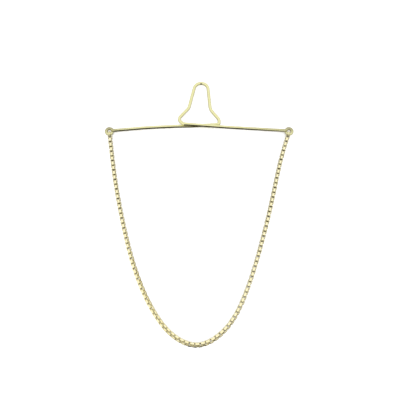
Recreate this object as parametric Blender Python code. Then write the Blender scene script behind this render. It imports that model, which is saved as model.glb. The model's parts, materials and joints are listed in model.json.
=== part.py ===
"""A tie chain: a spring-wire bar with a button loop, two jump rings and a box chain.

It lies as on a table. X runs along the bar, Y from the chain's lowest point to the top
of the button loop, and Z away from the table. The origin is on the table, under the
middle of the whole outline. Lengths are in millimetres and angles in degrees, and they
turn into metres and radians only where a mesh or a curve is made.
"""

import math

import bpy
import numpy as np
from mathutils import Matrix, Vector

MM = 0.001
UP = Vector((0.0, 0.0, 1.0))

# Bar wire
BAR_SPAN = 63.5  # from the outside of one eye to the outside of the other
WIRE_RADIUS = 0.5
EYE_RADIUS = 1.02  # every radius of a bend is the centreline's
EYE_Y = 25.57
EYE_X = BAR_SPAN / 2 - EYE_RADIUS - WIRE_RADIUS
EYE_TIP_ANGLE = -12.0  # where the left eye's curl starts, just short of the bar
EYE_NECK_ANGLE = 50.0  # where it leaves the circle for the bar
NECK = (1.14, 0.26)  # the bend between eye and bar, from the eye's centre
CROSSING_GAP = 0.15  # between the bar's two halves, where one passes over the other

# Jump rings
RING_HOLE_RADIUS = 0.78
RING_WIRE_RADIUS = 0.18
RING_RADIUS = RING_HOLE_RADIUS + RING_WIRE_RADIUS
RING_DROP = 0.20  # from the middle of the eye's wire to the ring's centre
LEFT_LEAN = 8.0  # how far each ring and its chain end lean in towards the middle
RIGHT_LEAN = 16.0

# Box chain
LINK_SIZE = 1.36  # outside of the square ring
LINK_WIDTH = 0.66  # width of the flat strip that it is bent from
STRIP = 0.25  # thickness of the strip
LINKS_PER_RUN = 4
RUNS_PER_SIDE = 23
LINK_LAP = 0.02  # how far the links of one run bite into each other, which joins them
RING_TO_STRIP = 0.495  # from a ring's centre to the middle of the strip inside it
LEVEL_LENGTH = 6.0  # how far the chain takes to come down from a ring to the table
TWIST = 90.0  # the chain turns by one side of a link between its ends
TWIST_START = 0.10  # as parts of the chain's length
TWIST_END = 0.75

# The chain folds across both sides at once, so that it stays closed
RUNS_PER_BAND = 2
FOLDS = 10

# Levels of a centreline or of a centre above the table
LOW = WIRE_RADIUS
HIGH = 3 * WIRE_RADIUS + CROSSING_GAP
EYE_Z = RING_RADIUS + RING_WIRE_RADIUS

ARC_STEP = 12.0  # degrees between the points of a bend
CURVE_SAMPLES = 4000  # fine enough to measure along the chain's curve


def clear_scene():
    for item in list(bpy.data.objects):
        bpy.data.objects.remove(item, do_unlink=True)


def metal(name, colour, roughness):
    material = bpy.data.materials.new(name)
    material.use_nodes = True
    shader = material.node_tree.nodes["Principled BSDF"]
    shader.inputs["Base Color"].default_value = (*colour, 1.0)
    shader.inputs["Roughness"].default_value = roughness
    shader.inputs["Metallic"].default_value = 1.0
    return material


def add_object(name, data, material, location=(0.0, 0.0, 0.0), parent=None):
    """Put mesh or curve data in the scene, at a world place in millimetres."""
    item = bpy.data.objects.new(name, data)
    data.materials.append(material)
    item.location = (Vector(location) - parent_place(parent)) * MM
    item.parent = parent
    bpy.context.scene.collection.objects.link(item)
    return item


def add_pivot(name, place, parent=None):
    """Put an empty on a joint's axis."""
    pivot = bpy.data.objects.new(name, None)
    pivot.empty_display_size = 2 * MM
    pivot.location = (Vector(place) - parent_place(parent)) * MM
    pivot.parent = parent
    pivot["place"] = list(place)
    bpy.context.scene.collection.objects.link(pivot)
    return pivot


def parent_place(parent):
    return Vector(parent["place"]) if parent else Vector((0.0, 0.0, 0.0))


def round_curve(name, points, radius, sides_setting, closed):
    """A round wire along points."""
    curve = bpy.data.curves.new(name, "CURVE")
    curve.dimensions = "3D"
    curve.bevel_depth = radius * MM
    curve.bevel_resolution = sides_setting
    curve.use_fill_caps = not closed
    spline = curve.splines.new("POLY")
    spline.points.add(len(points) - 1)
    for spot, point in zip(spline.points, points):
        spot.co = (*(Vector(point) * MM), 1.0)
    spline.use_cyclic_u = closed
    spline.use_smooth = True
    return curve


# Bar wire -----------------------------------------------------------------------------


def arc(centre, radius, start, end, level):
    """Points of a level arc, from one angle to the other."""
    steps = max(2, math.ceil(abs(end - start) / ARC_STEP))
    points = []
    for i in range(steps + 1):
        angle = math.radians(start + (end - start) * i / steps)
        x = centre[0] + radius * math.cos(angle)
        y = centre[1] + radius * math.sin(angle)
        points.append(Vector((x, y, level)))
    return points


def bend(before, corner, after, radius):
    """Points of the arc that rounds the corner between two straight stretches."""
    back = (before - corner).normalized()
    ahead = (after - corner).normalized()
    turn = math.pi - back.angle(ahead)
    setback = radius * math.tan(turn / 2)
    middle = corner + (back + ahead).normalized() * radius / math.cos(turn / 2)
    start = corner + back * setback - middle
    axis = start.cross(corner + ahead * setback - middle).normalized()
    steps = max(3, math.ceil(math.degrees(turn) / ARC_STEP))
    return [middle + Matrix.Rotation(turn * i / steps, 3, axis) @ start for i in range(steps + 1)]


def left_eye():
    """The left eye's curl, from its cut end to the neck."""
    centre = (-EYE_X, EYE_Y)
    return arc(centre, EYE_RADIUS, 360.0 + EYE_TIP_ANGLE, EYE_NECK_ANGLE, EYE_Z)


def right_eye():
    """The right eye's curl, from the neck to its cut end."""
    return [Vector((-p.x, p.y, p.z)) for p in reversed(left_eye())]


def wire_corners():
    """The wire's bends between its two eyes: x, y, z and the radius of the bend."""
    return [
        (-EYE_X + NECK[0], EYE_Y + NECK[1], EYE_Z, 1.2),
        (-18.0, 27.05, 0.85, 180.0),  # the left half bows a little towards the loop
        (-8.0, 27.7, LOW, 40.0),
        (-2.5, 27.8, LOW, 25.0),
        (6.75, 28.45, LOW, 0.7),  # foot of the loop
        (6.8, 30.2, LOW, 1.8),
        (3.77, 34.05, LOW, 4.0),
        (2.89, 44.1, LOW, 2.4),  # top of the loop
        (-1.28, 44.1, LOW, 2.4),
        (-3.54, 34.3, 0.95, 3.5),
        (-7.35, 29.75, 1.4, 1.6),
        (-5.35, 28.05, HIGH, 1.2),  # the wire comes back over its left half
        (9.0, 26.86, HIGH, 60.0),
        (EYE_X - NECK[0], EYE_Y + NECK[1], EYE_Z, 1.2),
    ]


def wire_route():
    corners = wire_corners()
    places = [Vector(corner[:3]) for corner in corners]
    places = [left_eye()[-1], *places, right_eye()[0]]
    points = left_eye()
    for i, corner in enumerate(corners):
        points += bend(places[i], places[i + 1], places[i + 2], corner[3])
    return points + right_eye()


def make_bar_wire(pivot):
    wire = round_curve("bar_wire", wire_route(), WIRE_RADIUS, 4, closed=False)
    add_object("bar_wire", wire, metal("bar_wire_gold", (0.86, 0.80, 0.48), 0.12), parent=pivot)


# Jump rings ---------------------------------------------------------------------------


def lean_direction(side):
    """The way a chain end leaves its eye. Side is -1 on the left and 1 on the right."""
    lean = math.radians(LEFT_LEAN if side < 0 else RIGHT_LEAN)
    return Vector((-side * math.sin(lean), -math.cos(lean), 0.0))


def eye_wire_middle(side):
    """The middle of the eye's wire where the ring goes round it."""
    return Vector((side * EYE_X, EYE_Y, EYE_Z)) + lean_direction(side) * EYE_RADIUS


def ring_centre(side):
    return eye_wire_middle(side) + lean_direction(side) * RING_DROP


def make_jump_ring(name, side, pivot):
    """A ring that stands upright, in line with its end of the chain."""
    steps = 24
    points = []
    for i in range(steps):
        angle = math.tau * i / steps
        outward = lean_direction(side) * math.cos(angle) + UP * math.sin(angle)
        points.append(outward * RING_RADIUS)
    curve = round_curve(name, points, RING_WIRE_RADIUS, 2, closed=True)
    gold = metal(name + "_gold", (0.86, 0.81, 0.50), 0.15)
    add_object(name, curve, gold, ring_centre(side), pivot)


# Box chain ----------------------------------------------------------------------------


def first_link_centre(side):
    return ring_centre(side) + lean_direction(side) * (RING_TO_STRIP + (LINK_SIZE - STRIP) / 2)


def chain_lie():
    """The way the chain lies on the table, from the left ring to the right one."""
    left = first_link_centre(-1)
    right = first_link_centre(1)
    return [
        (left.x, left.y),
        (-28.0, 10.9),
        (-24.6, -5.2),
        (-20.3, -20.2),
        (-13.1, -35.2),
        (-7.6, -41.3),
        (-0.7, -43.9),
        (6.9, -40.3),
        (14.3, -28.6),
        (19.6, -13.2),
        (23.9, 2.6),
        (27.9, 18.2),
        (right.x, right.y),
    ]


def smooth_curve(places, samples):
    """Points along the natural cubic spline through places."""
    knots = np.array(places)
    spans = np.linalg.norm(np.diff(knots, axis=0), axis=1)
    marks = np.concatenate([[0.0], np.cumsum(spans)])
    last = len(knots) - 1
    system = np.eye(last + 1)
    wanted = np.zeros_like(knots)
    for i in range(1, last):
        before, after = spans[i - 1], spans[i]
        system[i, i - 1 : i + 2] = (before, 2 * (before + after), after)
        wanted[i] = 6 * ((knots[i + 1] - knots[i]) / after - (knots[i] - knots[i - 1]) / before)
    curving = np.linalg.solve(system, wanted)
    at = np.linspace(0.0, marks[-1], samples)
    i = np.clip(np.searchsorted(marks, at, side="right") - 1, 0, last - 1)
    span = spans[i][:, None]
    near = (marks[i + 1] - at)[:, None] / span
    far = 1 - near
    cubic = ((near**3 - near) * curving[i] + (far**3 - far) * curving[i + 1]) * span**2 / 6
    return near * knots[i] + far * knots[i + 1] + cubic


class ChainCurve:
    """The chain's centreline, read by the distance along it from the first link's centre."""

    def __init__(self):
        flat = smooth_curve(chain_lie(), CURVE_SAMPLES)
        steps = np.linalg.norm(np.diff(flat, axis=0), axis=1)
        self.marks = np.concatenate([[0.0], np.cumsum(steps)])
        self.length = self.marks[-1]
        self.flat = flat

    def roll(self, distance):
        """How far the chain has twisted, in degrees."""
        part = (distance / self.length - TWIST_START) / (TWIST_END - TWIST_START)
        part = min(max(part, 0.0), 1.0)
        return TWIST * part * part * (3 - 2 * part)

    def level(self, distance):
        """The centre's height: on the table, or coming down to it from a ring."""
        tilt = math.radians(45 - abs(self.roll(distance) % 90 - 45))
        lying = (LINK_SIZE * math.cos(tilt) + LINK_WIDTH * math.sin(tilt)) / 2
        from_ring = min(distance, self.length - distance)
        if from_ring >= LEVEL_LENGTH:
            return lying
        part = (1 + math.cos(math.pi * max(from_ring, 0.0) / LEVEL_LENGTH)) / 2
        return lying + (EYE_Z - lying) * part

    def place(self, distance):
        x = np.interp(distance, self.marks, self.flat[:, 0])
        y = np.interp(distance, self.marks, self.flat[:, 1])
        return Vector((x, y, self.level(distance)))

    def frame(self, distance, quarter_turns):
        """A link's place and directions: along the chain, across it, and through its hole."""
        reach = LINK_SIZE / 2
        start = self.place(max(distance - reach, 0.0))
        end = self.place(min(distance + reach, self.length))
        along = (end - start).normalized()
        across = UP.cross(along).normalized()
        turn = math.radians(self.roll(distance) + 90 * quarter_turns)
        across = Matrix.Rotation(turn, 3, along) @ across
        through = along.cross(across)
        directions = Matrix((along, across, through)).transposed()
        return Matrix.Translation(self.place(distance)) @ directions.to_4x4()


CHAIN = ChainCurve()
LINKS = 2 * RUNS_PER_SIDE * LINKS_PER_RUN
PITCH = LINK_SIZE - 2 * STRIP + LINK_LAP  # between the links of one run
RUN_PITCH = (CHAIN.length - (LINKS_PER_RUN - 1) * PITCH) / (2 * RUNS_PER_SIDE - 1)
JOINT_PITCH = RUN_PITCH - (LINKS_PER_RUN - 1) * PITCH  # from a run's last link to the next run


def link_distance(index):
    run, place_in_run = divmod(index, LINKS_PER_RUN)
    return run * RUN_PITCH + place_in_run * PITCH


def link_mesh(matrix):
    """One square link, its hole along Z before it is placed."""
    half = LINK_SIZE / 2
    corners = []
    for z in (-LINK_WIDTH / 2, LINK_WIDTH / 2):
        for reach in (half, half - STRIP):
            corners += [(reach, reach, z), (-reach, reach, z), (-reach, -reach, z), (reach, -reach, z)]
    faces = []
    for i in range(4):
        j = (i + 1) % 4
        faces.append((i + 8, j + 8, j + 12, i + 12))  # upper edge of the strip
        faces.append((j, i, i + 4, j + 4))  # lower edge
        faces.append((i, j, j + 8, i + 8))  # outside
        faces.append((j + 4, i + 4, i + 12, j + 12))  # inside
    mesh = bpy.data.meshes.new("link")
    mesh.from_pydata([matrix @ Vector(corner) for corner in corners], [], faces)
    return mesh


def joined_mesh(meshes, name):
    """The union of meshes that bite into each other."""
    parts = [bpy.data.objects.new("link", mesh) for mesh in meshes]
    for part in parts:
        bpy.context.scene.collection.objects.link(part)
    for part in parts[1:]:
        union = parts[0].modifiers.new("join", "BOOLEAN")
        union.operation = "UNION"
        union.solver = "EXACT"
        union.object = part
    seen = parts[0].evaluated_get(bpy.context.evaluated_depsgraph_get())
    mesh = bpy.data.meshes.new_from_object(seen)
    mesh.name = name
    for part in parts:
        bpy.data.objects.remove(part, do_unlink=True)
    return mesh


def make_chain_run(name, run, gold, pivot):
    """Four links as one body. Its end links hang loose in those of the runs on either side."""
    first = run * LINKS_PER_RUN
    frames = [CHAIN.frame(link_distance(i), i) for i in range(first, first + LINKS_PER_RUN)]
    middle = sum((frame.translation for frame in frames), Vector()) / LINKS_PER_RUN
    to_middle = Matrix.Translation(-middle)
    mesh = joined_mesh([link_mesh(to_middle @ frame) for frame in frames], name)
    mesh.transform(Matrix.Scale(MM, 4))
    mesh.shade_flat()
    add_object(name, mesh, gold, middle, pivot)


# Joint axes ---------------------------------------------------------------------------


def joint_place(run):
    """The middle of the joint between a run and the one before it."""
    return CHAIN.place(run * RUN_PITCH - JOINT_PITCH / 2)


def fold_ends(fold):
    """The two places that a fold's axis goes through, on the left and right side."""
    run = fold * RUNS_PER_BAND
    other_run = 2 * RUNS_PER_SIDE - run
    return joint_place(run), joint_place(other_run)


def axis_middle(ends):
    return (ends[0] + ends[1]) / 2


def band_of(run):
    """The band that a run is in, counted from the rings: 0 to FOLDS."""
    run_from_end = min(run, 2 * RUNS_PER_SIDE - 1 - run)
    return min(run_from_end // RUNS_PER_BAND, FOLDS)


def main():
    clear_scene()
    bar = add_pivot("bar_frame", (0.0, 0.0, 0.0))
    make_bar_wire(bar)
    swing = add_pivot("ring_swing", axis_middle((eye_wire_middle(-1), eye_wire_middle(1))), bar)
    make_jump_ring("jump_ring_left", -1, swing)
    make_jump_ring("jump_ring_right", 1, swing)
    pivots = [add_pivot("link_swing", axis_middle((ring_centre(-1), ring_centre(1))), swing)]
    for fold in range(1, FOLDS + 1):
        pivots.append(add_pivot(f"fold_{fold}", axis_middle(fold_ends(fold)), pivots[-1]))
    gold = metal("chain_gold", (0.87, 0.81, 0.49), 0.2)
    for run in range(2 * RUNS_PER_SIDE):
        side = "left" if run < RUNS_PER_SIDE else "right"
        number = min(run, 2 * RUNS_PER_SIDE - 1 - run) + 1
        make_chain_run(f"chain_{side}_{number:02d}", run, gold, pivots[band_of(run)])


main()
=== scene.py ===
"""The looks of the tie chain: bent wire, jump rings and square links in polished gold plate.

X runs along the bar, Y from the chain's lowest point to the top of the button loop, and Z away
from the table, as in the CAD part. Lengths are in millimetres and angles in degrees, and they
turn into metres and radians only where something is made.
"""

import json
import math

import bpy
import numpy as np
from mathutils import Matrix, Vector

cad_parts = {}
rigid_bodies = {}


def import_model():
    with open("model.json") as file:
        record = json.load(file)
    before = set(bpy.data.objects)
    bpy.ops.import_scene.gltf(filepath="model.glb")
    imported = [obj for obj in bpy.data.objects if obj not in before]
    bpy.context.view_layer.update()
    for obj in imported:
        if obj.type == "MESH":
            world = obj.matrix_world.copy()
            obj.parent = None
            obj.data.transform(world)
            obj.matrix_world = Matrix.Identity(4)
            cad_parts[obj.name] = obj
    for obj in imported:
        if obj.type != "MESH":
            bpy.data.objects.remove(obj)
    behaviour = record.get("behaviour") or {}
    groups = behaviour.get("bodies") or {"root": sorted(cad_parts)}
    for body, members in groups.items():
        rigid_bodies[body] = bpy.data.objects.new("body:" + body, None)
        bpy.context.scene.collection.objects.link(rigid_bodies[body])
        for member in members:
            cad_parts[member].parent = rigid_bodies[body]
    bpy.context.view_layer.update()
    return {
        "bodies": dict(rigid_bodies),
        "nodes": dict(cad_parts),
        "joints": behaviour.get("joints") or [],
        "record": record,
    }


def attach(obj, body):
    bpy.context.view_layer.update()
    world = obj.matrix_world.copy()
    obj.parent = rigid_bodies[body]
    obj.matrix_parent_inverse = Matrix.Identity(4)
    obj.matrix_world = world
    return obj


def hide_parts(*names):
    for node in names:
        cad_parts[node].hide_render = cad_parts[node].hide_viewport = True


MM = 0.001
UP = Vector((0.0, 0.0, 1.0))

# Camera
VIEW_TILT = 17.4  # from straight down
VIEW_DISTANCE = 173.2
VIEW_TARGET = (0.27, 1.48, 0.7)
LENS = 48.15  # on Blender's sensor, 36 mm wide

# Table and studio
TABLE_REACH = 3000.0
TABLE_LEVEL = -0.01  # just below the metal, so that the two never share a plane
TENT_STRENGTH = 1.06
TENT_GREY = (0.36, 0.32, 0.23, 1.0)
TENT_WHITE = (1.0, 1.0, 1.0, 1.0)
GREY_HEIGHT = 0.18  # parts of the way from straight below to straight above
WHITE_HEIGHT = 0.50
SUN_STRENGTH = 1.2
SUN_SIZE = 20.0

# Bar wire, as in the CAD part
BAR_SPAN = 63.5  # from the outside of one eye to the outside of the other
WIRE_RADIUS = 0.5
EYE_RADIUS = 1.02  # every radius of a bend is the centreline's
EYE_Y = 25.57
EYE_X = BAR_SPAN / 2 - EYE_RADIUS - WIRE_RADIUS
EYE_TIP_ANGLE = -12.0
EYE_NECK_ANGLE = 50.0
NECK = (1.14, 0.26)
CROSSING_GAP = 0.15

# Jump rings, as in the CAD part
RING_HOLE_RADIUS = 0.78
RING_WIRE_RADIUS = 0.18
RING_RADIUS = RING_HOLE_RADIUS + RING_WIRE_RADIUS
RING_DROP = 0.20
LEFT_LEAN = 8.0
RIGHT_LEAN = 16.0

# Box chain, as in the CAD part
LINK_SIZE = 1.36
STRIP = 0.25
LINKS_PER_RUN = 4
RUNS_PER_SIDE = 23
LINK_LAP = 0.02
RING_TO_STRIP = 0.495
LEVEL_LENGTH = 6.0
TWIST = 90.0
TWIST_START = 0.10
TWIST_END = 0.75
CURVE_SAMPLES = 4000

# Levels of a centreline or of a centre above the table
LOW = WIRE_RADIUS
HIGH = 3 * WIRE_RADIUS + CROSSING_GAP
EYE_Z = RING_RADIUS + RING_WIRE_RADIUS

# Fine detail that the CAD part leaves out
ARC_STEP = 3.0  # degrees between the points of a bend
WIRE_SIDES = 40
RING_SIDES = 24
WIRE_CHAMFER = 0.07  # on the cut ends of the bar wire
RING_CHAMFER = 0.03
RING_CUT = 0.035  # the slit where a jump ring was closed
RING_CUT_ANGLE = 118.0  # round from the chain's side of the ring
FINE_STRIP = 0.236  # a link's strip, thin enough for every link to be loose
LINK_WIDTH = 0.70  # of the strip; in the CAD part it is less, so that its stiff runs can fold
BEND_RADIUS = 0.16  # of the strip's centreline, at a link's corners
EDGE_RADIUS = 0.05  # on the strip's edges
CROWN = 0.012  # how far the tumbled faces stand up in their middle
CORNER_STEPS = 5
SIDE_STEPS = 4
LOOSE_ROLL = 2.2  # how far a link may sit turned from its neighbours, in degrees
LOOSE_SHIFT = 0.012
EDGE_SHADE = 0.3  # painted shade on the strip's cut edges; 1 is as dark as the painted shade inside a link
END_SHADE = 0.6  # painted shade on a link's two end faces, where the next links cover them
EYE_SHADE = 0.55  # painted shade on the curled eyes, most at the top and less below
RING_SHADE = 0.7  # painted shade on a jump ring where it sits in the chain's first link
LIGHTER_PLACE = 0.37  # of the chain's length: round here the painted shade is weaker, so the chain looks lighter
LIGHTER_REACH = 0.22
LIGHTER_SHARE = 0.8  # how much of the painted shade is taken off there
PATCH_STEP = 20.0  # along the noise from link to link, so that no two links have the same patches
SEED = 7

# Gold plate: its pale patches, its deep patches, and the dark colour of its painted shade
BAR_COLOURS = ((0.82, 0.80, 0.46), (0.79, 0.76, 0.40), (0.12, 0.10, 0.09))
CHAIN_COLOURS = ((0.98, 0.92, 0.60), (0.96, 0.87, 0.51), (0.07, 0.055, 0.02))
BAR_ROUGHNESS = 0.09
CHAIN_ROUGHNESS = 0.10
DULL_ROUGHNESS = 0.35  # more roughness where the painted shade is full
BAR_LINE_DEPTH = 0.002
CHAIN_LINE_DEPTH = 0.001


# Camera, floor and light -----------------------------------------------------------------


def make_camera():
    """The camera looks down at the table, from a little to the chain's side of straight above."""
    tilt = math.radians(VIEW_TILT)
    back = Vector((0.0, -math.sin(tilt), math.cos(tilt)))
    camera = bpy.data.objects.new("camera", bpy.data.cameras.new("camera"))
    camera.data.lens = LENS
    camera.data.clip_start = 1 * MM
    camera.location = (Vector(VIEW_TARGET) + back * VIEW_DISTANCE) * MM
    camera.rotation_euler = (tilt, 0.0, 0.0)
    bpy.context.scene.collection.objects.link(camera)
    bpy.context.scene.camera = camera


def rectangle(name, corners):
    mesh = bpy.data.meshes.new(name)
    mesh.from_pydata([Vector(corner) * MM for corner in corners], [], [(0, 1, 2, 3)])
    item = bpy.data.objects.new(name, mesh)
    bpy.context.scene.collection.objects.link(item)
    return item


def plain_material(name, colour, roughness):
    material = bpy.data.materials.new(name)
    material.use_nodes = True
    shader = material.node_tree.nodes["Principled BSDF"]
    shader.inputs["Base Color"].default_value = (*colour, 1.0)
    shader.inputs["Roughness"].default_value = roughness
    return material


def make_floor():
    """A white table. Polished metal mirrors the studio round it and not the table."""
    corners = [
        (-TABLE_REACH, -TABLE_REACH, TABLE_LEVEL),
        (TABLE_REACH, -TABLE_REACH, TABLE_LEVEL),
        (TABLE_REACH, TABLE_REACH, TABLE_LEVEL),
        (-TABLE_REACH, TABLE_REACH, TABLE_LEVEL),
    ]
    floor = rectangle("floor", corners)
    floor.data.materials.append(plain_material("white_table", (1.0, 1.0, 1.0), roughness=0.9))
    floor.visible_glossy = False


def make_flag():
    """A dark gauze in front, which draws the dark line along the bar. Only the metal mirrors it.

    It thins out towards its top, so that the line has a soft edge.
    """
    half_width = 60.0
    distance = 200.0
    top = 500.0
    bottom = -800.0
    solid_height = 0.77  # as parts of the gauze's height
    clear_height = 1.0
    corners = [
        (-half_width, -distance, bottom),
        (half_width, -distance, bottom),
        (half_width, -distance, top),
        (-half_width, -distance, top),
    ]
    flag = rectangle("flag", corners)
    gauze = plain_material("dark_gauze", (0.03, 0.025, 0.012), roughness=1.0)
    flag.data.materials.append(gauze)
    nodes = gauze.node_tree.nodes
    links = gauze.node_tree.links
    place = nodes.new("ShaderNodeTexCoord")
    height = nodes.new("ShaderNodeSeparateXYZ")
    thinning = nodes.new("ShaderNodeMapRange")
    thinning.inputs["From Min"].default_value = solid_height
    thinning.inputs["From Max"].default_value = clear_height
    thinning.inputs["To Min"].default_value = 1.0
    thinning.inputs["To Max"].default_value = 0.0
    links.new(place.outputs["Generated"], height.inputs[0])
    links.new(height.outputs["Z"], thinning.inputs["Value"])
    links.new(thinning.outputs["Result"], nodes["Principled BSDF"].inputs["Alpha"])
    flag.visible_camera = False
    flag.visible_diffuse = False
    flag.visible_shadow = False


def make_light():
    """A white tent all round, grey below the horizon, and a soft sun for the table."""
    make_tent()
    sun = bpy.data.objects.new("sun", bpy.data.lights.new("sun", "SUN"))
    sun.rotation_euler = (math.radians(VIEW_TILT), 0.0, 0.0)  # from behind the camera
    sun.data.energy = SUN_STRENGTH
    sun.data.angle = math.radians(SUN_SIZE)
    sun.visible_glossy = False
    bpy.context.scene.collection.objects.link(sun)
    bpy.context.scene.view_settings.view_transform = "Standard"


def make_tent():
    """The world's colour, from grey to white with the height that one looks at."""
    world = bpy.data.worlds.new("tent")
    world.use_nodes = True
    bpy.context.scene.world = world
    nodes = world.node_tree.nodes
    links = world.node_tree.links
    direction = nodes.new("ShaderNodeTexCoord")
    height = nodes.new("ShaderNodeSeparateXYZ")
    ramp = nodes.new("ShaderNodeValToRGB")
    lower, upper = ramp.color_ramp.elements
    lower.position = GREY_HEIGHT
    lower.color = TENT_GREY
    upper.position = WHITE_HEIGHT
    upper.color = TENT_WHITE
    half = nodes.new("ShaderNodeMath")  # brings the direction's -1 to 1 to the ramp's 0 to 1
    half.operation = "MULTIPLY_ADD"
    half.inputs[1].default_value = 0.5
    half.inputs[2].default_value = 0.5
    links.new(direction.outputs["Generated"], height.inputs[0])
    links.new(height.outputs["Z"], half.inputs[0])
    links.new(half.outputs[0], ramp.inputs[0])
    links.new(ramp.outputs[0], nodes["Background"].inputs["Color"])
    nodes["Background"].inputs["Strength"].default_value = TENT_STRENGTH


# Materials -------------------------------------------------------------------------------


def new_node(tree, kind, **settings):
    node = tree.nodes.new("ShaderNode" + kind)
    for name, value in settings.items():
        setattr(node, name, value)
    return node


def stretched_noise(tree, place, stretch, detail):
    """Noise in the coordinates that the wire or strip had before it was bent, in millimetres."""
    scaled = new_node(tree, "VectorMath", operation="MULTIPLY")
    scaled.inputs[1].default_value = stretch
    tree.links.new(place, scaled.inputs[0])
    noise = new_node(tree, "TexNoise")
    noise.inputs["Scale"].default_value = 1.0
    noise.inputs["Detail"].default_value = detail
    tree.links.new(scaled.outputs[0], noise.inputs["Vector"])
    return noise.outputs["Fac"]


def map_range(tree, value, low, high):
    """A noise's middle range, spread from low to high."""
    node = new_node(tree, "MapRange")
    node.inputs["From Min"].default_value = 0.3
    node.inputs["From Max"].default_value = 0.7
    node.inputs["To Min"].default_value = low
    node.inputs["To Max"].default_value = high
    tree.links.new(value, node.inputs["Value"])
    return node.outputs["Result"]


def mix_colours(tree, share, first, second):
    """Share 0 is the first and 1 the second. Each is a colour or another node's output."""
    node = new_node(tree, "Mix", data_type="RGBA")
    tree.links.new(share, node.inputs["Factor"])
    for socket, colour in ((node.inputs[6], first), (node.inputs[7], second)):
        if isinstance(colour, tuple):
            socket.default_value = (*colour, 1.0)
        else:
            tree.links.new(colour, socket)
    return node.outputs[2]


def polished_gold(name, colours, roughness, line_depth):
    """Gold plate with patches of tone, fine lines along the metal, and painted shade that darkens and
    roughens the metal where the mesh asks for it.
    """
    pale, deep, shade_colour = colours
    material = bpy.data.materials.new(name)
    material.use_nodes = True
    tree = material.node_tree
    shader = tree.nodes["Principled BSDF"]
    shader.inputs["Metallic"].default_value = 1.0
    drawn = new_node(tree, "Attribute", attribute_name="drawn").outputs["Vector"]
    # painted shade: how far the colour goes towards the dark shade colour, and how much rougher the
    # metal gets
    painted_shade = new_node(tree, "Attribute", attribute_name="painted_shade").outputs["Fac"]
    patches = stretched_noise(tree, drawn, (0.5, 0.9, 0.9), 3.0)
    lines = stretched_noise(tree, drawn, (0.35, 14.0, 14.0), 4.0)
    specks = stretched_noise(tree, drawn, (9.0, 9.0, 9.0), 2.0)
    plate = mix_colours(tree, map_range(tree, patches, 0.0, 1.0), pale, deep)
    colour = mix_colours(tree, painted_shade, plate, shade_colour)
    tree.links.new(colour, shader.inputs["Base Color"])
    rough = new_node(tree, "Math", operation="ADD")
    tree.links.new(map_range(tree, lines, 0.0, roughness), rough.inputs[0])
    tree.links.new(map_range(tree, specks, roughness * 0.5, roughness), rough.inputs[1])
    worn = new_node(tree, "Math", operation="MULTIPLY_ADD", use_clamp=True)
    worn.inputs[1].default_value = DULL_ROUGHNESS
    tree.links.new(painted_shade, worn.inputs[0])
    tree.links.new(rough.outputs[0], worn.inputs[2])
    tree.links.new(worn.outputs[0], shader.inputs["Roughness"])
    bump = new_node(tree, "Bump")
    bump.inputs["Strength"].default_value = 1.0
    bump.inputs["Distance"].default_value = line_depth * MM
    tree.links.new(lines, bump.inputs["Height"])
    tree.links.new(bump.outputs["Normal"], shader.inputs["Normal"])
    return material


# Meshes ----------------------------------------------------------------------------------


def add_piece(name, points, faces, drawn, painted_shade, material):
    """A smooth mesh from points in millimetres, with what its material reads at each point."""
    mesh = bpy.data.meshes.new(name)
    mesh.from_pydata((np.array(points) * MM).tolist(), [], faces)
    mesh.attributes.new("drawn", "FLOAT_VECTOR", "POINT").data.foreach_set("vector", np.ravel(drawn))
    mesh.attributes.new("painted_shade", "FLOAT", "POINT").data.foreach_set("value", np.ravel(painted_shade))
    mesh.materials.append(material)
    mesh.shade_smooth()
    piece = bpy.data.objects.new(name, mesh)
    bpy.context.scene.collection.objects.link(piece)
    return piece


def round_wire(points, reference, radius, chamfer, sides):
    """The points, faces and drawn places of a round wire with chamfered, cut ends.

    Reference is a direction that the wire is never parallel to.
    """
    tangents = []
    for i in range(len(points)):
        ahead = points[min(i + 1, len(points) - 1)]
        behind = points[max(i - 1, 0)]
        tangents.append((ahead - behind).normalized())
    lengths = [0.0]
    for before, after in zip(points, points[1:]):
        lengths.append(lengths[-1] + (after - before).length)
    rows = [(points[i], tangents[i], lengths[i], radius) for i in range(len(points))]
    first, last = rows[0], rows[-1]
    rows[0] = (first[0] + first[1] * chamfer, first[1], chamfer, radius)
    rows[-1] = (last[0] - last[1] * chamfer, last[1], last[2] - chamfer, radius)
    rows.insert(0, (first[0], first[1], 0.0, radius - chamfer))
    rows.append((last[0], last[1], last[2], radius - chamfer))
    spots = []
    drawn = []
    for middle, tangent, length, row_radius in rows:
        across = reference.cross(tangent).normalized()
        outward = tangent.cross(across)
        for k in range(sides):
            angle = math.tau * k / sides
            y = row_radius * math.cos(angle)
            z = row_radius * math.sin(angle)
            spots.append(middle + across * y + outward * z)
            drawn.append((length, y, z))
    faces = []
    for row in range(len(rows) - 1):
        for k in range(sides):
            next_k = (k + 1) % sides
            here, there = row * sides, (row + 1) * sides
            faces.append((here + k, here + next_k, there + next_k, there + k))
    faces.append(tuple(range(sides))[::-1])
    faces.append(tuple(range((len(rows) - 1) * sides, len(rows) * sides)))
    return spots, faces, drawn


# Bar wire --------------------------------------------------------------------------------


def arc(centre, radius, start, end, level):
    """Points of a level arc, from one angle to the other."""
    steps = max(2, math.ceil(abs(end - start) / ARC_STEP))
    points = []
    for i in range(steps + 1):
        angle = math.radians(start + (end - start) * i / steps)
        x = centre[0] + radius * math.cos(angle)
        y = centre[1] + radius * math.sin(angle)
        points.append(Vector((x, y, level)))
    return points


def bend(before, corner, after, radius):
    """Points of the arc that rounds the corner between two straight stretches."""
    back = (before - corner).normalized()
    ahead = (after - corner).normalized()
    turn = math.pi - back.angle(ahead)
    setback = radius * math.tan(turn / 2)
    middle = corner + (back + ahead).normalized() * radius / math.cos(turn / 2)
    start = corner + back * setback - middle
    axis = start.cross(corner + ahead * setback - middle).normalized()
    steps = max(3, math.ceil(math.degrees(turn) / ARC_STEP))
    return [middle + Matrix.Rotation(turn * i / steps, 3, axis) @ start for i in range(steps + 1)]


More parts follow.
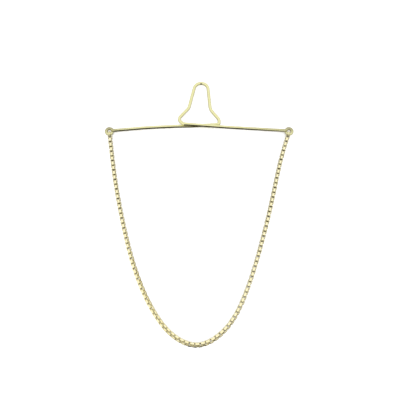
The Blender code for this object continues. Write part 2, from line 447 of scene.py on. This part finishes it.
def left_eye():
    """The left eye's curl, from its cut end to the neck."""
    centre = (-EYE_X, EYE_Y)
    return arc(centre, EYE_RADIUS, 360.0 + EYE_TIP_ANGLE, EYE_NECK_ANGLE, EYE_Z)


def right_eye():
    """The right eye's curl, from the neck to its cut end."""
    return [Vector((-p.x, p.y, p.z)) for p in reversed(left_eye())]


def wire_corners():
    """The wire's bends between its two eyes: x, y, level and the radius of the bend.

    Levels between the low and the high one are where the wire climbs.
    """
    return [
        (-EYE_X + NECK[0], EYE_Y + NECK[1], EYE_Z, 1.2),
        (-18.0, 27.05, 0.85, 180.0),  # the left half bows a little towards the loop
        (-8.0, 27.7, LOW, 40.0),
        (-2.5, 27.8, LOW, 25.0),
        (6.75, 28.45, LOW, 0.7),  # foot of the loop
        (6.8, 30.2, LOW, 1.8),
        (3.77, 34.05, LOW, 4.0),
        (2.89, 44.1, LOW, 2.4),  # top of the loop
        (-1.28, 44.1, LOW, 2.4),
        (-3.54, 34.3, 0.95, 3.5),
        (-7.35, 29.75, 1.4, 1.6),
        (-5.35, 28.05, HIGH, 1.2),  # the wire comes back over its left half
        (9.0, 26.86, HIGH, 60.0),
        (EYE_X - NECK[0], EYE_Y + NECK[1], EYE_Z, 1.2),
    ]


def wire_route():
    corners = wire_corners()
    places = [Vector(corner[:3]) for corner in corners]
    places = [left_eye()[-1], *places, right_eye()[0]]
    points = left_eye()
    for i, corner in enumerate(corners):
        points += bend(places[i], places[i + 1], places[i + 2], corner[3])
    points += right_eye()
    return [p for i, p in enumerate(points) if i == 0 or (p - points[i - 1]).length > 0.001]


def eye_shade(spot):
    """How much painted shade the wire gets: nought on the bar and most at the top of an eye."""
    share_at_side = 0.65  # of the painted shade at the top
    x = abs(spot.x) - EYE_X
    y = spot.y - EYE_Y
    outside = EYE_RADIUS + WIRE_RADIUS
    nearness = min(max(2 - math.hypot(x, y) / outside, 0.0), 1.0)
    highness = min(max(y / EYE_RADIUS, -1.0), 1.0)
    return EYE_SHADE * nearness * (share_at_side + (1 - share_at_side) * highness)


def make_bar_wire():
    gold = polished_gold("bar_gold", BAR_COLOURS, BAR_ROUGHNESS, BAR_LINE_DEPTH)
    spots, faces, drawn = round_wire(wire_route(), UP, WIRE_RADIUS, WIRE_CHAMFER, WIRE_SIDES)
    # painted shade on the eyes, darkest at their tops
    painted_shade = [eye_shade(spot) for spot in spots]
    wire = add_piece("fine_bar_wire", spots, faces, drawn, painted_shade, gold)
    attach(wire, "bar")
    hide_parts("bar_wire")


# Jump rings ------------------------------------------------------------------------------


def lean_direction(side):
    """The way a chain end leaves its eye. Side is -1 on the left and 1 on the right."""
    lean = math.radians(LEFT_LEAN if side < 0 else RIGHT_LEAN)
    return Vector((-side * math.sin(lean), -math.cos(lean), 0.0))


def eye_wire_middle(side):
    """The middle of the eye's wire where the ring goes round it."""
    return Vector((side * EYE_X, EYE_Y, EYE_Z)) + lean_direction(side) * EYE_RADIUS


def ring_centre(side):
    return eye_wire_middle(side) + lean_direction(side) * RING_DROP


def make_jump_rings():
    gold = polished_gold("ring_gold", CHAIN_COLOURS, CHAIN_ROUGHNESS, CHAIN_LINE_DEPTH)
    make_jump_ring(-1, gold)
    make_jump_ring(1, gold)


def make_jump_ring(side, gold):
    """A ring of round wire that stands upright, cut once and closed to a fine slit."""
    name = "left" if side < 0 else "right"
    slit = math.degrees(RING_CUT / RING_RADIUS)
    turn = 360.0 - slit
    steps = math.ceil(turn / ARC_STEP)
    points = []
    painted_shade = []
    for i in range(steps + 1):
        angle = math.radians(RING_CUT_ANGLE + slit / 2 + turn * i / steps)
        outward = lean_direction(side) * math.cos(angle) + UP * math.sin(angle)
        points.append(ring_centre(side) + outward * RING_RADIUS)
        # painted shade on the ring's side towards the chain, where it sits in the first link
        painted_shade.append(RING_SHADE * max(math.cos(angle), 0.0))
    painted_shade = np.repeat([painted_shade[0], *painted_shade, painted_shade[-1]], RING_SIDES)
    axis = lean_direction(side).cross(UP)
    spots, faces, drawn = round_wire(points, axis, RING_WIRE_RADIUS, RING_CHAMFER, RING_SIDES)
    ring = add_piece("fine_jump_ring_" + name, spots, faces, drawn, painted_shade, gold)
    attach(ring, "jump_rings")
    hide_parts("jump_ring_" + name)


# Box chain -------------------------------------------------------------------------------


def first_link_centre(side):
    return ring_centre(side) + lean_direction(side) * (RING_TO_STRIP + (LINK_SIZE - STRIP) / 2)


def chain_lie():
    """The way the chain lies on the table, from the left ring to the right one."""
    left = first_link_centre(-1)
    right = first_link_centre(1)
    return [
        (left.x, left.y),
        (-28.0, 10.9),
        (-24.6, -5.2),
        (-20.3, -20.2),
        (-13.1, -35.2),
        (-7.6, -41.3),
        (-0.7, -43.9),
        (6.9, -40.3),
        (14.3, -28.6),
        (19.6, -13.2),
        (23.9, 2.6),
        (27.9, 18.2),
        (right.x, right.y),
    ]


def smooth_curve(places, samples):
    """Points along the natural cubic spline through places."""
    knots = np.array(places)
    spans = np.linalg.norm(np.diff(knots, axis=0), axis=1)
    marks = np.concatenate([[0.0], np.cumsum(spans)])
    last = len(knots) - 1
    system = np.eye(last + 1)
    wanted = np.zeros_like(knots)
    for i in range(1, last):
        before, after = spans[i - 1], spans[i]
        system[i, i - 1 : i + 2] = (before, 2 * (before + after), after)
        wanted[i] = 6 * ((knots[i + 1] - knots[i]) / after - (knots[i] - knots[i - 1]) / before)
    curving = np.linalg.solve(system, wanted)
    at = np.linspace(0.0, marks[-1], samples)
    i = np.clip(np.searchsorted(marks, at, side="right") - 1, 0, last - 1)
    span = spans[i][:, None]
    near = (marks[i + 1] - at)[:, None] / span
    far = 1 - near
    cubic = ((near**3 - near) * curving[i] + (far**3 - far) * curving[i + 1]) * span**2 / 6
    return near * knots[i] + far * knots[i + 1] + cubic


class ChainCurve:
    """The chain's centreline, read by the distance along it from the first link's centre."""

    def __init__(self):
        flat = smooth_curve(chain_lie(), CURVE_SAMPLES)
        steps = np.linalg.norm(np.diff(flat, axis=0), axis=1)
        self.marks = np.concatenate([[0.0], np.cumsum(steps)])
        self.length = self.marks[-1]
        self.flat = flat

    def roll(self, distance):
        """How far the chain has twisted, in degrees."""
        part = (distance / self.length - TWIST_START) / (TWIST_END - TWIST_START)
        part = min(max(part, 0.0), 1.0)
        return TWIST * part * part * (3 - 2 * part)

    def level(self, distance):
        """The centre's height: on the table, or coming down to it from a ring."""
        tilt = math.radians(45 - abs(self.roll(distance) % 90 - 45))
        lying = (LINK_SIZE * math.cos(tilt) + LINK_WIDTH * math.sin(tilt)) / 2
        from_ring = min(distance, self.length - distance)
        if from_ring >= LEVEL_LENGTH:
            return lying
        part = (1 + math.cos(math.pi * max(from_ring, 0.0) / LEVEL_LENGTH)) / 2
        return lying + (EYE_Z - lying) * part

    def place(self, distance):
        x = np.interp(distance, self.marks, self.flat[:, 0])
        y = np.interp(distance, self.marks, self.flat[:, 1])
        return Vector((x, y, self.level(distance)))

    def frame(self, distance, quarter_turns, loose_roll):
        """A link's place and directions: along the chain, across it, and through its hole."""
        reach = LINK_SIZE / 2
        start = self.place(max(distance - reach, 0.0))
        end = self.place(min(distance + reach, self.length))
        along = (end - start).normalized()
        across = UP.cross(along).normalized()
        turn = math.radians(self.roll(distance) + 90 * quarter_turns + loose_roll)
        across = Matrix.Rotation(turn, 3, along) @ across
        through = along.cross(across)
        directions = Matrix((along, across, through)).transposed()
        return Matrix.Translation(self.place(distance)) @ directions.to_4x4()


CHAIN = ChainCurve()
PITCH = LINK_SIZE - 2 * STRIP + LINK_LAP  # between the links of one run
RUN_PITCH = (CHAIN.length - (LINKS_PER_RUN - 1) * PITCH) / (2 * RUNS_PER_SIDE - 1)


def link_distance(index):
    run, place_in_run = divmod(index, LINKS_PER_RUN)
    return run * RUN_PITCH + place_in_run * PITCH


def link_path():
    """Round a link: where the strip's middle is, its outward direction, and the way gone so far."""
    half = (LINK_SIZE - FINE_STRIP) / 2
    straight = half - BEND_RADIUS
    path = []
    gone = 0.0
    for quarter in range(4):
        turned = math.radians(90 * quarter)
        outward = Vector((math.cos(turned), math.sin(turned), 0.0))
        onward = Vector((-math.sin(turned), math.cos(turned), 0.0))
        for i in range(SIDE_STEPS):
            slide = straight * (2 * i / SIDE_STEPS - 1)
            path.append((outward * half + onward * slide, outward, gone + slide + straight))
        gone += 2 * straight
        middle = (outward + onward) * straight
        for i in range(CORNER_STEPS):
            angle = math.radians(90 * i / CORNER_STEPS)
            direction = outward * math.cos(angle) + onward * math.sin(angle)
            path.append((middle + direction * BEND_RADIUS, direction, gone + BEND_RADIUS * angle))
        gone += BEND_RADIUS * math.pi / 2
    return path


def strip_profile():
    """The strip's section: distance outward from its middle, place across its width, and painted
    shade.
    """
    half = FINE_STRIP / 2
    flat = LINK_WIDTH / 2 - EDGE_RADIUS
    crown_shares = (-1.0, -0.9, 0.0, 0.9, 1.0)  # of the way from the middle to where an edge rounds
    section = []
    for share in crown_shares:
        section.append((half - CROWN * share**2, flat * share, 0.0))
    for angle in (30.0, 60.0, 90.0):
        out = half - CROWN - EDGE_RADIUS * (1 - math.cos(math.radians(angle)))
        width = flat + EDGE_RADIUS * math.sin(math.radians(angle))
        # painted shade growing round the outer edge
        section.append((out, width, EDGE_SHADE * angle / 90))
    for angle in (90.0, 45.0, 0.0):
        out = -half + EDGE_RADIUS * (1 - math.cos(math.radians(angle)))
        width = flat + EDGE_RADIUS * math.sin(math.radians(angle))
        # painted shade growing round the inner edge, full on the strip's inside face
        section.append((out, width, 1 - (1 - EDGE_SHADE) * angle / 90))
    round_edge = section[len(crown_shares) :]
    other_edge = [(out, -width, painted_shade) for out, width, painted_shade in reversed(round_edge)]
    return section + other_edge


def fine_link():
    """One link's points, faces, drawn places and painted shade, its hole along Z."""
    path = link_path()
    profile = strip_profile()
    spots = []
    drawn = []
    painted_shade = []
    for middle, outward, gone in path:
        for out, width, section_shade in profile:
            spots.append(middle + outward * out + UP * width)
            drawn.append((gone, width, out))
            # painted shade: inside faces and edges from the section, and the link's two end faces
            painted_shade.append(max(section_shade, END_SHADE * outward.x**4))
    rows, columns = len(path), len(profile)
    faces = []
    for row in range(rows):
        for k in range(columns):
            here, there = row * columns, (row + 1) % rows * columns
            next_k = (k + 1) % columns
            faces.append((here + k, there + k, there + next_k, here + next_k))
    return np.array(spots), faces, np.array(drawn), np.array(painted_shade)


def shade_left(index):
    """The part of its painted shade that a link keeps, less round the lighter place on the chain."""
    away = (link_distance(index) / CHAIN.length - LIGHTER_PLACE) / LIGHTER_REACH
    return 1 - LIGHTER_SHARE * math.exp(-(away**2))


def make_chain_run(run, link, bodies, gold, chance):
    """Four separate links, where the CAD part has them joined in one node."""
    link_spots, link_faces, link_drawn, link_shade = link
    spots = []
    faces = []
    drawn = []
    painted_shade = []
    for i in range(run * LINKS_PER_RUN, (run + 1) * LINKS_PER_RUN):
        frame = CHAIN.frame(link_distance(i), i, chance.uniform(-LOOSE_ROLL, LOOSE_ROLL))
        shift = chance.uniform(-LOOSE_SHIFT, LOOSE_SHIFT, 3) * (1.0, 1.0, 0.0)
        turned = link_spots @ np.array(frame.to_3x3()).T + np.array(frame.translation) + shift
        first = len(spots) * len(link_spots)
        spots.append(turned)
        faces += [tuple(first + corner for corner in face) for face in link_faces]
        drawn.append(link_drawn + (PATCH_STEP * i, 0.0, 0.0))
        # each link's painted shade, weaker round the lighter place
        painted_shade.append(link_shade * shade_left(i))
    side = "left" if run < RUNS_PER_SIDE else "right"
    number = min(run, 2 * RUNS_PER_SIDE - 1 - run) + 1
    node = f"chain_{side}_{number:02d}"
    spots, drawn, painted_shade = (np.concatenate(values) for values in (spots, drawn, painted_shade))
    piece = add_piece("fine_" + node, spots, faces, drawn, painted_shade, gold)
    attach(piece, bodies[node])
    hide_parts(node)


def body_of_each_node(record):
    return {node: body for body, nodes in record["behaviour"]["bodies"].items() for node in nodes}


def make_chain(record):
    bodies = body_of_each_node(record)
    gold = polished_gold("chain_gold", CHAIN_COLOURS, CHAIN_ROUGHNESS, CHAIN_LINE_DEPTH)
    chance = np.random.default_rng(SEED)
    link = fine_link()
    for run in range(2 * RUNS_PER_SIDE):
        make_chain_run(run, link, bodies, gold, chance)


def main():
    make_camera()
    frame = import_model()
    make_floor()
    make_flag()
    make_light()
    make_bar_wire()
    make_jump_rings()
    make_chain(frame["record"])


main()
